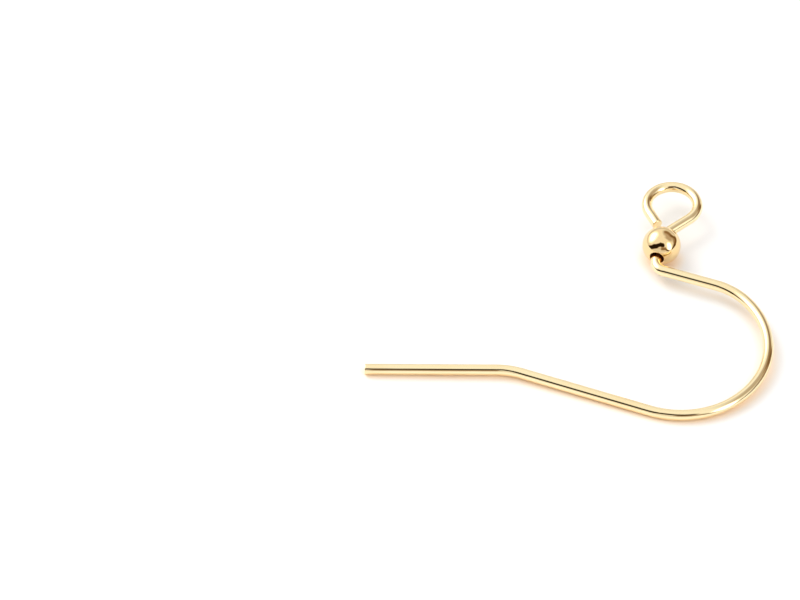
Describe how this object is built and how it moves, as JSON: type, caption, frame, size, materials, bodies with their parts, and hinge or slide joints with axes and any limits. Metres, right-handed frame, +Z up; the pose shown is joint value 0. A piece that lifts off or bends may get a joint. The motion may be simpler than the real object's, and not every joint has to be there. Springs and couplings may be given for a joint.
{
  "type": "ear wire",
  "caption": "Fish-hook ear wire: gold-coloured round wire with a flared straight tail, a rounded crown, a loose drilled ball bead and an open loop that takes a drop, lying on its side.",
  "frame": {"origin": "on the table, under the centre of the lying part's outline", "axes": "+Z up from the table, +X along the tail from its tip to the hook, +Y towards the leg, bead and loop"},
  "size_m": [0.0224, 0.0176, 0.0021],
  "materials": {
    "wire": "gold plated round wire, polished",
    "bead": "gold plated bead, high polish"
  },
  "bodies": {
    "wire": {"ear_wire": "wire"},
    "bead": {"ball_bead": "bead"}
  },
  "joints": [
    {"name": "bead_spin", "type": "hinge", "parent": "wire", "child": "bead", "pos_m": [0.00516, 0.00397, 0.00108], "axis": [0.2753, 0.9596, 0.0582], "continuous": true}
  ]
}
